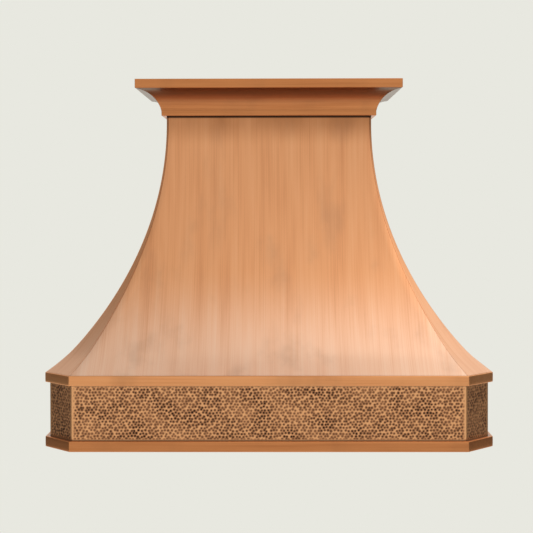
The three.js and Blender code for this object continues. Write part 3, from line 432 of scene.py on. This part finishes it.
def bodyPanel(edge):
    # across: straight from corner to corner, falling inwards round a fold at both sides and drawn back
    # to the mitre there; up: the flare; the sheet is dented very slightly by three long crossing waves
    rows, columns = shell["rows"], shell["columns"]
    z = np.linspace(bodyFoot, bodyTop, rows)
    flare = flareShare(z)
    x = neckX + flare * (footX - neckX)
    y = neckY + flare * (footY - neckY)
    cut = shell["neckCut"] + (cornerCut - shell["neckCut"]) * flare ** shell["cutGrowth"]
    slope = np.hypot(np.diff(z, prepend=z[0]), np.diff(y, prepend=y[0])).cumsum()
    grids, grain = [], []
    for by in (0, sheet):
        corners = insetOctagon(x, y, cut, by)
        start, end = corners[:, edge], corners[:, (edge + 1) % 8]
        along = end - start
        length = np.linalg.norm(along, axis=1)[:, None]
        width = length - 2 * shell["seam"]
        fold = np.minimum(shell["foldRadius"], width * 0.3)
        foldPart = fold * np.array([0, 0.12, 0.4])
        flatPart = fold + np.linspace(0, 1, columns - 6) * (width - 2 * fold)
        s = shell["seam"] + np.hstack([foldPart, flatPart, width - foldPart[:, ::-1]])
        near = np.minimum(s, length - s) - shell["seam"]
        fall = fold - np.sqrt(np.maximum(0, fold**2 - np.maximum(0, fold - near) ** 2))
        outward = np.stack([along[:, 1], -along[:, 0]], 1) / length
        dents = sum(share * np.sin(a * s + b * z[:, None] + c * edge) for a, b, c, share in shell["waves"])
        fade = smooth((z[:, None] - bodyFoot) / shell["plainEnd"])
        fade = fade * smooth((flareTop - z[:, None]) / shell["plainEnd"])
        wave = smooth(near / shell["plainSide"]) * shell["wave"] * dents * fade
        sunk = shell["foldDepth"] * fall * (by == 0)
        toMitre = sunk * halfTurn * np.sign(length / 2 - s)
        out = np.minimum(wave, 0) - sunk
        flat = start[:, None] + (along / length)[:, None] * (s + toMitre)[..., None]
        flat = flat + outward[:, None] * out[..., None]
        grids.append(np.concatenate([flat, np.broadcast_to(z[:, None, None], s.shape + (1,))], -1))
        grain.append(grainOf(s - length / 2, np.broadcast_to(slope[:, None], s.shape), edge))
    return *closeSheet(grids[0], grids[1]), np.vstack(grain)


def grainOf(across, along, number):
    # distance across the brushing, distance along it, and a number that sets each piece apart
    return np.stack([across, along, np.full(across.shape, number * 3.7)], -1).reshape(-1, 3)


def closeSheet(outer, inner):
    # the outer and inner grids, joined by a strip of quads along all four sides
    rows, columns = outer.shape[:2]
    points = np.vstack([outer.reshape(-1, 3), inner.reshape(-1, 3)])
    half = rows * columns
    faces = gridFaces(rows, columns)
    faces += [[half + f[0], half + f[3], half + f[2], half + f[1]] for f in faces]
    bottom = np.arange(columns)
    top = (rows - 1) * columns + np.arange(columns)
    left = np.arange(rows) * columns
    right = left + columns - 1
    loop = np.concatenate([bottom[:-1], right[:-1], top[::-1][:-1], left[::-1][:-1]])
    after = np.roll(loop, -1)
    faces += np.stack([after, loop, loop + half, after + half], 1).tolist()
    return points, faces


panelEdges = {
    "body_right": 0, "corner_rear_right": 1, "body_rear": 2, "corner_rear_left": 3,
    "body_left": 4, "corner_front_left": 5, "body_front": 6, "corner_front_right": 7,
}
for node, edge in panelEdges.items():
    points, faces, grain = bodyPanel(edge)
    material = bodyCopper if node.startswith("body") else cornerCopper
    putMesh(node + "_copper", points, faces, material, "hood", [node],
            attributes={"grain": grain})
print("body panels made")


trim = {"edge": 1.3 * mm, "cornerFillet": 1.5 * mm, "ledge": 26 * mm, "rim": 34 * mm, "lip": 9.2 * mm,
        "crowned": 0.25 * mm, "patinaAndShade": 0.9, "patinaFrom": 3.5 * mm, "patinaOver": 5 * mm}


def ringAlong(outline):
    # a closed outline of inset and height carried round the eight corners, each rounded by a small arc
    t, z = outline[:, 0], outline[:, 1]
    corners = insetOctagon(halfX + 0 * t, halfY + 0 * t, cornerCut + 0 * t, t)
    before, after = np.roll(corners, 1, axis=1) - corners, np.roll(corners, -1, axis=1) - corners
    before /= np.linalg.norm(before, axis=2)[..., None]
    after /= np.linalg.norm(after, axis=2)[..., None]
    k = np.linspace(0, 1, 5)[None, None, :, None]
    r = trim["cornerFillet"]
    path = corners[:, :, None] + (1 - k) ** 2 * before[:, :, None] * r + k**2 * after[:, :, None] * r
    path = path.reshape(len(t), -1, 2)
    points = np.concatenate([path, np.broadcast_to(z[:, None, None], path.shape[:2] + (1,))], -1)
    around = np.linalg.norm(np.diff(path[0], axis=0, prepend=path[0][:1]), axis=1).cumsum()
    around = np.broadcast_to(around, path.shape[:2])
    girth = np.hypot(np.diff(t, prepend=t[0]), np.diff(z, prepend=z[0])).cumsum()
    grain = grainOf(np.broadcast_to(girth[:, None], path.shape[:2]), around, z.max() * 10)
    return points.reshape(-1, 3), gridFaces(len(t), path.shape[1], True, True), grain


def trimRing(name, low, high, ledge, ledgeOnTop, material):
    # a sheet bent to a C: ledge, a face crowned by a quarter millimetre, and a short lip behind
    ends = (high, low) if ledgeOnTop else (low, high)
    turn = 1 if ledgeOnTop else -1
    bulge = trim["crowned"]
    path = [[ledge, ends[0]], [bulge, ends[0]], [0, 0.7 * ends[0] + 0.3 * ends[1]],
            [0, 0.3 * ends[0] + 0.7 * ends[1]], [bulge, ends[1]], [trim["lip"], ends[1]]]
    bent = roundedPath(path, trim["edge"])
    inner = roundedPath([[ledge, ends[0] - turn * sheet], [sheet, ends[0] - turn * sheet],
                         [sheet, ends[1] + turn * sheet], [trim["lip"], ends[1] + turn * sheet]],
                        0.4 * mm)
    outline = np.vstack([bent, inner[::-1]])
    points, faces, grain = ringAlong(outline)
    # patina and painted shade: brown on the lip behind, deeper in from where the band meets the apron
    onLip = np.abs(outline[:, 1] - ends[1]) < 2 * sheet
    patinaAndShade = trim["patinaAndShade"] * onLip * smooth((outline[:, 0] - trim["patinaFrom"]) / trim["patinaOver"])
    putMesh(name + "_copper", points, faces, material, "hood", [name], sharp=28,
            attributes={"grain": grain, "patinaAndShade": np.repeat(patinaAndShade, len(points) // len(outline))})


trimRing("upper_trim", ledgeLow.z, ledgeHigh.z, trim["ledge"], True, bandCopper)
trimRing("lower_trim", rimLow.z, rimHigh.z, trim["rim"], False, trimCopper)
print("trims made")


hammer = {
    "pitch": 6.8 * mm, "jitter": 0.21, "depth": 0.42 * mm, "step": 1.35 * mm, "bend": 1.5 * mm,
    "plainSide": 8 * mm, "plainEdge": 5 * mm, "shadeEdge": 4.5 * mm, "shade": 0.85, "reach": 0.59,
    "sizes": (0.8, 1.08), "gap": 0.15 * mm, "seed": 7,
}
apronRecess = 9.5 * mm


def hammerMarks(s, z, seed):
    # nearest of a jittered triangular lattice of blows: 1 less the square of distance over reach, so 1
    # in the middle of a dimple and 0 on the ridge
    rng = np.random.default_rng(seed)
    pitch, rowPitch = hammer["pitch"], hammer["pitch"] * math.sqrt(3) / 2
    jitter = rng.uniform(-1, 1, (2, 64, 256)) * hammer["jitter"] * pitch
    size = rng.uniform(*hammer["sizes"], (64, 256))
    row = np.round(z / rowPitch).astype(int)
    best = np.full(s.shape, 9.0)  # farther than any blow reaches
    for stepRow in (-1, 0, 1):
        j = row + stepRow
        shift = (j % 2) * 0.5
        column = np.round(s / pitch - shift).astype(int)
        for stepColumn in (-1, 0, 1):
            i = column + stepColumn
            centreS = (i + shift) * pitch + jitter[0][j % 64, i % 256]
            centreZ = j * rowPitch + jitter[1][j % 64, i % 256]
            reach = hammer["reach"] * pitch * size[j % 64, i % 256]
            best = np.minimum(best, np.hypot(s - centreS, z - centreZ) / reach)
    return np.clip(1 - best**2, 0, 1)


def apronSheet(name, corners, seed):
    # along: the plan's outline with rounded bends; up: straight; each blow dishes the face inwards
    low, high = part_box(name)
    plan = insetOctagon(np.array(halfX), np.array(halfY), np.array(cornerCut), apronRecess)[corners]
    path = plan.copy()
    path[0] += (path[1] - path[0]) / np.linalg.norm(path[1] - path[0]) * hammer["gap"]
    path[-1] += (path[-2] - path[-1]) / np.linalg.norm(path[-2] - path[-1]) * hammer["gap"]
    bent = roundedPath(path, hammer["bend"], 9) if len(corners) > 2 else path
    lengths = np.concatenate([[0], np.cumsum(np.linalg.norm(np.diff(bent, axis=0), axis=1))])
    s = np.linspace(0, lengths[-1], int(lengths[-1] / hammer["step"]))
    flat = np.stack([np.interp(s, lengths, bent[:, k]) for k in (0, 1)], 1)
    ahead = np.gradient(flat, axis=0)
    ahead /= np.linalg.norm(ahead, axis=1)[:, None]
    outward = np.stack([ahead[:, 1], -ahead[:, 0]], 1)
    z = np.linspace(low.z, high.z, int((high.z - low.z) / hammer["step"]))
    sGrid, zGrid = np.meshgrid(s, z)
    mark = hammerMarks(sGrid, zGrid, seed)
    bends = np.array([s[np.argmin(np.hypot(*(flat - corner).T))] for corner in plan])
    side = np.abs(sGrid[..., None] - bends).min(-1)
    faceLow, faceHigh = rimHigh.z, ledgeLow.z
    edge = np.minimum(zGrid - faceLow, faceHigh - zGrid)
    mark = mark * smooth(side / hammer["plainSide"]) * smooth(edge / hammer["plainEdge"])
    # painted shade: brown along the top and bottom of the face, where the bands meet it
    shade = hammer["shade"] * (1 - smooth((edge + 0.5 * mm) / hammer["shadeEdge"]))
    dish = -hammer["depth"] * mark
    outer = np.concatenate([
        flat[None] + outward[None] * dish[..., None], zGrid[..., None]], -1)
    back = flat - outward * sheet
    back[0] += ahead[0] * sheet * halfTurn  # mitred, where the next apron begins
    back[-1] -= ahead[-1] * sheet * halfTurn
    rows, columns = outer.shape[:2]
    backRows = [np.column_stack([back, np.full(columns, level)]) for level in (low.z, high.z)]
    points = np.vstack([outer.reshape(-1, 3), *backRows])
    first, second = rows * columns, rows * columns + columns
    faces = gridFaces(rows, columns)
    k = np.arange(columns - 1)
    top = (rows - 1) * columns
    faces += np.stack([k + 1, k, first + k, first + k + 1], 1).tolist()
    faces += np.stack([top + k, top + k + 1, second + k + 1, second + k], 1).tolist()
    faces += np.stack([first + k + 1, first + k, second + k, second + k + 1], 1).tolist()
    leftSide = (np.arange(rows) * columns).tolist()
    rightSide = (np.arange(rows) * columns + columns - 1).tolist()
    faces += [leftSide + [second, first],
              rightSide[::-1] + [first + columns - 1, second + columns - 1]]
    plainBack = np.zeros(2 * columns)
    putMesh(name + "_hammered", points, faces, apronCopper, "hood", [name], sharp=60,
            attributes={"dimple": np.concatenate([mark.ravel(), plainBack]),
                        "patinaAndShade": np.concatenate([shade.ravel(), plainBack])})


apronSheet("apron_front", [5, 6, 7, 0], hammer["seed"])
apronSheet("apron_rear", [1, 2, 3, 4], hammer["seed"] + 1)
apronSheet("apron_left", [4, 5], hammer["seed"] + 2)
apronSheet("apron_right", [0, 1], hammer["seed"] + 3)
print("aprons made")


crown = {
    "out": 62 * mm, "lipOut": 10 * mm, "lipHeight": 9 * mm, "cove": 56 * mm, "from": 80, "to": 15,
    "fascia": 19 * mm, "return": 19 * mm, "mitre": 0.225 * mm, "edge": 1.1 * mm, "clear": 0.3 * mm,
    "patinaAndShade": 0.9,
}


def crownOutline():
    # distance out from the neck and height: lip, hollow arc of 65 degrees, ledge, fascia, top return,
    # then the same path back along the sheet's inner side
    foot, top = crownLow.z, crownHigh.z
    start, end = math.radians(crown["from"]), math.radians(crown["to"])
    tangent = np.linspace(start, end, 28)
    cove = np.stack([
        crown["lipOut"] + crown["cove"] * (math.sin(start) - np.sin(tangent)),
        foot + crown["lipHeight"] + crown["cove"] * (np.cos(tangent) - math.cos(start))], 1)
    lip = [[crown["clear"], foot], [crown["lipOut"], foot]]
    head = [[crown["out"], top - crown["fascia"]], [crown["out"], top],
            [crown["out"] - crown["return"], top]]
    outer = np.vstack([roundedPath([*lip, cove[0]], crown["edge"]), cove[1:-1],
                       roundedPath([cove[-1], *head], crown["edge"])])
    return np.vstack([outer, setIn(np.vstack([lip, cove, head]), sheet)[::-1]])


def crownLength(name, number, place):
    # the outline carried straight between two mitred ends
    outline = crownOutline()
    u = np.linspace(-1, 1, 24)
    plan = place(outline[None, :, 0], u[:, None])
    height = np.broadcast_to(outline[None, :, 1, None], plan.shape[:2] + (1,))
    points = np.concatenate([plan, height], -1)
    count = len(outline)
    faces = gridFaces(len(u), count, False, True)
    faces += [list(range(count))[::-1], [(len(u) - 1) * count + i for i in range(count)]]
    girth = np.hypot(*np.diff(outline, axis=0, prepend=outline[:1]).T).cumsum()
    along = np.where(np.ptp(points[..., 0]) > np.ptp(points[..., 1]), points[..., 0], points[..., 1])
    grain = grainOf(np.broadcast_to(girth, along.shape), along, number)
    # patina and painted shade: brown over the upper half of the hollow, below the fascia
    hollow = (outline[:, 0] - crown["lipOut"]) / (crown["out"] - crown["lipOut"])
    hollow = smooth(hollow / 0.5) * (outline[:, 1] < crownHigh.z - crown["fascia"] - 0.2 * mm)
    patinaAndShade = np.broadcast_to(crown["patinaAndShade"] * hollow, along.shape).ravel()
    putMesh(name + "_copper", points.reshape(-1, 3), faces, trimCopper, "hood", [name],
            sharp=30, attributes={"grain": grain, "patinaAndShade": patinaAndShade})


def endwise(a, b):
    # two coordinates that broadcast against each other, as one array of places
    return np.stack(np.broadcast_arrays(a, b), -1)


crownLength("crown_front", 11, lambda o, u: endwise(u * (neckX + o - crown["mitre"]), -neckY - o))
crownLength("crown_rear", 12, lambda o, u: endwise(u * (neckX + o - crown["mitre"]), neckY + o))
crownLength("crown_left", 13, lambda o, u: endwise(-neckX - o, u * (neckY + o - crown["mitre"])))
crownLength("crown_right", 14, lambda o, u: endwise(neckX + o, u * (neckY + o - crown["mitre"])))
print("crown made")


lamp = {"rim": 1.5 * mm, "lip": 1 * mm, "flange": 3 * mm, "barrel": 27 * mm, "hole": 8 * mm,
        "wall": 1.5 * mm, "fit": 0.3 * mm, "edge": 0.9 * mm, "lensEdge": 0.6 * mm}


def lampPieces():
    # each bezel is a rolled ring with a rounded lip round the glass, each lens a shallow disc
    for i in range(1, 5):
        low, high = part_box(f"lamp_bezel_{i}")
        x, y, r = (low.x + high.x) / 2, (low.y + high.y) / 2, (high.x - low.x) / 2
        lensLow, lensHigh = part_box(f"lamp_lens_{i}")
        lens = (lensHigh.x - lensLow.x) / 2
        bottom, flange, inner = low.z, low.z + lamp["flange"], high.z - lamp["wall"]
        outline = roundedPath([
            [lens - lamp["rim"], bottom + lamp["lip"]], [lens - lamp["rim"], bottom], [r, bottom],
            [r, flange], [lamp["barrel"], flange], [lamp["barrel"], high.z], [lamp["hole"], high.z],
            [lamp["hole"], inner], [lens + lamp["fit"], inner],
            [lens + lamp["fit"], bottom + lamp["lip"]], [lens - 1.4 * mm, bottom + lamp["lip"]]],
            lamp["edge"], 4)
        points, faces = lathe(outline, x, y)
        putMesh(f"lamp_bezel_{i}_steel", points, faces, smallSteel, "hood", [f"lamp_bezel_{i}"])
        disc = np.array([
            [0, lensLow.z], [lens - lamp["lensEdge"], lensLow.z], [lens, lensLow.z + lamp["lensEdge"]],
            [lens, lensHigh.z], [0, lensHigh.z]])
        points, faces = solidLathe(disc, x, y)
        putMesh(f"lamp_lens_{i}_glass", points, faces, lampGlass, "hood", [f"lamp_lens_{i}"])


button = {"flangeOut": 2 * mm, "flangeThick": 2 * mm, "turns": 40}


def buttonPieces():
    # a turned cap with a rounded face, and the flange that holds it behind the panel
    for label in ("light", "low", "medium", "high"):
        node = f"{label}_button"
        low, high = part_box(node)
        x, y, flange = (low.x + high.x) / 2, (low.y + high.y) / 2, (high.x - low.x) / 2
        cap, shoulder = flange - button["flangeOut"], high.z - button["flangeThick"]
        outline = np.array([
            [0, low.z + 0.3 * mm], [cap - 2 * mm, low.z + 0.2 * mm], [cap - 0.7 * mm, low.z],
            [cap, low.z + 0.8 * mm], [cap, shoulder], [flange, shoulder], [flange, high.z],
            [0, high.z]])
        points, faces = solidLathe(outline, x, y, button["turns"])
        putMesh(node + "_cap", points, faces, smallSteel, node, [node])


def wireAlong(path, radius, sides=12):
    # a round section carried along a path that lies in an upright plane, with flat ends
    ahead = np.gradient(path, axis=0)
    ahead /= np.linalg.norm(ahead, axis=1)[:, None]
    across = np.array([0.0, 1.0, 0.0])
    up = np.cross(ahead, across)
    angle = np.linspace(0, 2 * math.pi, sides, endpoint=False)
    ring = (np.cos(angle)[None, :, None] * up[:, None] + np.sin(angle)[None, :, None] * across) * radius
    points = (path[:, None] + ring).reshape(-1, 3)
    count = len(path)
    faces = gridFaces(count, sides, False, True)
    faces += [list(range(sides))[::-1], [(count - 1) * sides + i for i in range(sides)]]
    return points, faces


bail = {"wire": 2 * mm, "drawn": 0.97, "leg": 27 * mm, "bend": 5 * mm}


def bailPieces():
    # bent wire: a stub through each eye, a leg down, and a straight grip with round bends
    for side in ("left", "right"):
        node = f"filter_bail_{side}"
        low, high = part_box(node)
        wire = bail["wire"]
        x, y = (low.x + high.x) / 2, (low.y + high.y) / 2
        axis, grip = high.z - wire, low.z + wire
        half, leg = (high.x - low.x) / 2, bail["leg"]
        path = roundedPath([
            [x - half, axis], [x - leg, axis], [x - leg, grip], [x + leg, grip], [x + leg, axis],
            [x + half, axis]], bail["bend"], 9)
        path = np.stack([path[:, 0], np.full(len(path), y), path[:, 1]], 1)
        points, faces = wireAlong(path, wire * bail["drawn"])
        putMesh(node + "_wire", points, faces, smallSteel, f"bail_{side}", [node])


duct = {"flangeOut": 12 * mm, "wall": 1.2 * mm, "edge": 0.6 * mm, "turns": 96}


def ductPiece():
    # rolled tube with rounded edges, and the flange under the ceiling
    low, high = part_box("duct_pipe")
    flange = (high.x - low.x) / 2
    tube, wall = flange - duct["flangeOut"], duct["wall"]
    outline = roundedPath([
        [tube - wall, low.z], [tube, low.z], [tube, high.z - wall], [flange, high.z - wall],
        [flange, high.z], [tube - wall, high.z], [tube - wall, low.z + 0.2 * mm]], duct["edge"], 4)
    points, faces = lathe(outline, 0, 0, duct["turns"])
    putMesh("duct_pipe_zinc", points, faces, zinc, "hood", ["duct_pipe"])


lampPieces()
buttonPieces()
bailPieces()
ductPiece()
print("lamps, buttons, handles and duct made")


kept = {
    "ceiling_plate": zinc, "carrier_frame": zinc, "base_frame": zinc, "plenum_cone": zinc,
    "blower_box": zinc, "scroll_housing": zinc, "duct_collar": zinc, "junction_box": zinc,
    "control_conduit": zinc, "impeller": zinc, "damper_flap_front": zinc, "damper_flap_rear": zinc,
    "upright_front_left": zinc, "upright_front_right": zinc, "upright_rear_left": zinc,
    "upright_rear_right": zinc, "liner_pan": linerSteel, "filter_frame_left": linerSteel,
    "filter_frame_right": linerSteel, "filter_baffles_left": filterSteel,
    "filter_baffles_right": filterSteel, "filter_clip_left": smallSteel, "filter_clip_right": smallSteel,
    "control_panel": blackPaint, "motor": motorPaint, "motor_shaft": shaftSteel,
}
for node, material in kept.items():
    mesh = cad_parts[node].data
    mesh.materials.clear()
    mesh.materials.append(material)
print("CAD nodes given their finishes")


studio = {
    "floorDrop": 3.4, "floorHalf": 9, "pale": "#e8e8e0", "floor": "#e9e7e6", "floorGlow": 0.2,
    "back": 1.0, "front": 0.88, "topLeft": 0.42, "topRight": 1.3, "side": 0.07, "sideAbove": 0.45,
    "below": 0.5, "keyPlace": (1.5, -1.2, 3.2), "keyAim": (0.1, -0.1, 0.4), "keySize": (3.0, 2.4),
    "keyPower": 7,
}
# where each part of the sky gives way to the next, along x, y or z of the direction
skyEdges = {
    "leftToRight": (-0.7, 0.5), "sideUp": (-0.2, 0.3), "frontToSide": (0.45, 0.95),
    "levelToTop": (0.02, 0.6), "belowToLevel": (-0.5, -0.05), "roomToBack": (0.4, 0.85),
}


def makeFloor():
    # a plain flat sheet, far enough below to look up from
    half = studio["floorHalf"]
    corners = np.array([[-half, -half], [half, -half], [half, half], [-half, half]], float)
    points = np.column_stack([corners, np.full(4, -studio["floorDrop"])])
    mesh = bpy.data.meshes.new("floor")
    mesh.from_pydata(points.tolist(), [], [[0, 1, 2, 3]])
    material, tree, shader = newMaterial("pale_floor")
    shader.inputs["Base Color"].default_value = linear(studio["floor"])
    shader.inputs["Emission Color"].default_value = linear(studio["floor"])
    shader.inputs["Emission Strength"].default_value = studio["floorGlow"]
    shader.inputs["Roughness"].default_value = 0.9
    mesh.materials.append(material)
    floor = bpy.data.objects.new("floor", mesh)
    bpy.context.scene.collection.objects.link(floor)


def makeSky():
    # white cloth all round: brightest above and to the right, dimmer in front, dark to either side
    world = bpy.data.worlds.new("studio")
    bpy.context.scene.world = world
    world.use_nodes = True
    tree = world.node_tree
    tree.nodes.clear()
    direction = addNode(tree, "ShaderNodeTexCoord").outputs["Generated"]
    x, y, z = addNode(tree, "ShaderNodeSeparateXYZ", Vector=direction).outputs
    sideways = addNode(tree, "ShaderNodeMath", {"operation": "ABSOLUTE"}, i0=x).outputs[0]
    spans = {edge: {"From_Min": start, "From_Max": end} for edge, (start, end) in skyEdges.items()}
    overhead = addNode(tree, "ShaderNodeMapRange", smoothStep, Value=x, **spans["leftToRight"],
                       To_Min=studio["topLeft"], To_Max=studio["topRight"])
    aside = addNode(tree, "ShaderNodeMapRange", smoothStep, Value=z, **spans["sideUp"],
                    To_Min=studio["side"], To_Max=studio["sideAbove"])
    level = addNode(tree, "ShaderNodeMapRange", smoothStep, Value=sideways, **spans["frontToSide"],
                    To_Min=studio["front"], To_Max=aside.outputs[0])
    upper = addNode(tree, "ShaderNodeMapRange", smoothStep, Value=z, **spans["levelToTop"],
                    To_Min=level.outputs[0], To_Max=overhead.outputs[0])
    room = addNode(tree, "ShaderNodeMapRange", smoothStep, Value=z, **spans["belowToLevel"],
                   To_Min=studio["below"], To_Max=upper.outputs[0])
    whole = addNode(tree, "ShaderNodeMapRange", smoothStep, Value=y, **spans["roomToBack"],
                    To_Min=room.outputs[0], To_Max=studio["back"])
    backdrop = addNode(tree, "ShaderNodeBackground", Color=linear(studio["pale"]),
                       Strength=whole.outputs[0])
    addNode(tree, "ShaderNodeOutputWorld", Surface=backdrop.outputs[0])


def addSoftbox(name, place, aim, size, power):
    # a rectangle of light turned to face a point
    light = bpy.data.lights.new(name, "AREA")
    light.shape = "RECTANGLE"
    light.size, light.size_y = size
    light.energy = power
    box = bpy.data.objects.new(name, light)
    box.location = place
    gaze = np.array(aim) - np.array(place)
    tilt = math.atan2(math.hypot(gaze[0], gaze[1]), -gaze[2])
    box.rotation_euler = (tilt, 0, math.atan2(-gaze[0], gaze[1]))
    bpy.context.scene.collection.objects.link(box)


view = {  # angles in degrees, lens in mm, shift as a share of the frame, below zero for down
    "place": (0.0143, -2.688, 0.4963), "pitch": -0.887, "turn": 0.438, "roll": 0.086, "lens": 79.7,
    "shift": -0.0844,
}


def makeCamera():
    # a long lens in front of the hood and a little above its middle, all but level: the shift brings
    # the frame down to the hood, so that uprights stay upright
    data = bpy.data.cameras.new("camera")
    data.lens = view["lens"]
    data.sensor_width = 36
    data.shift_y = view["shift"]
    camera = bpy.data.objects.new("camera", data)
    camera.rotation_mode = "XYZ"
    camera.location = view["place"]
    camera.rotation_euler = [math.radians(a) for a in (90 + view["pitch"], view["roll"], view["turn"])]
    bpy.context.scene.collection.objects.link(camera)
    bpy.context.scene.camera = camera


makeFloor()
makeSky()
addSoftbox("key", studio["keyPlace"], studio["keyAim"], studio["keySize"], studio["keyPower"])
makeCamera()
print("studio and camera made")
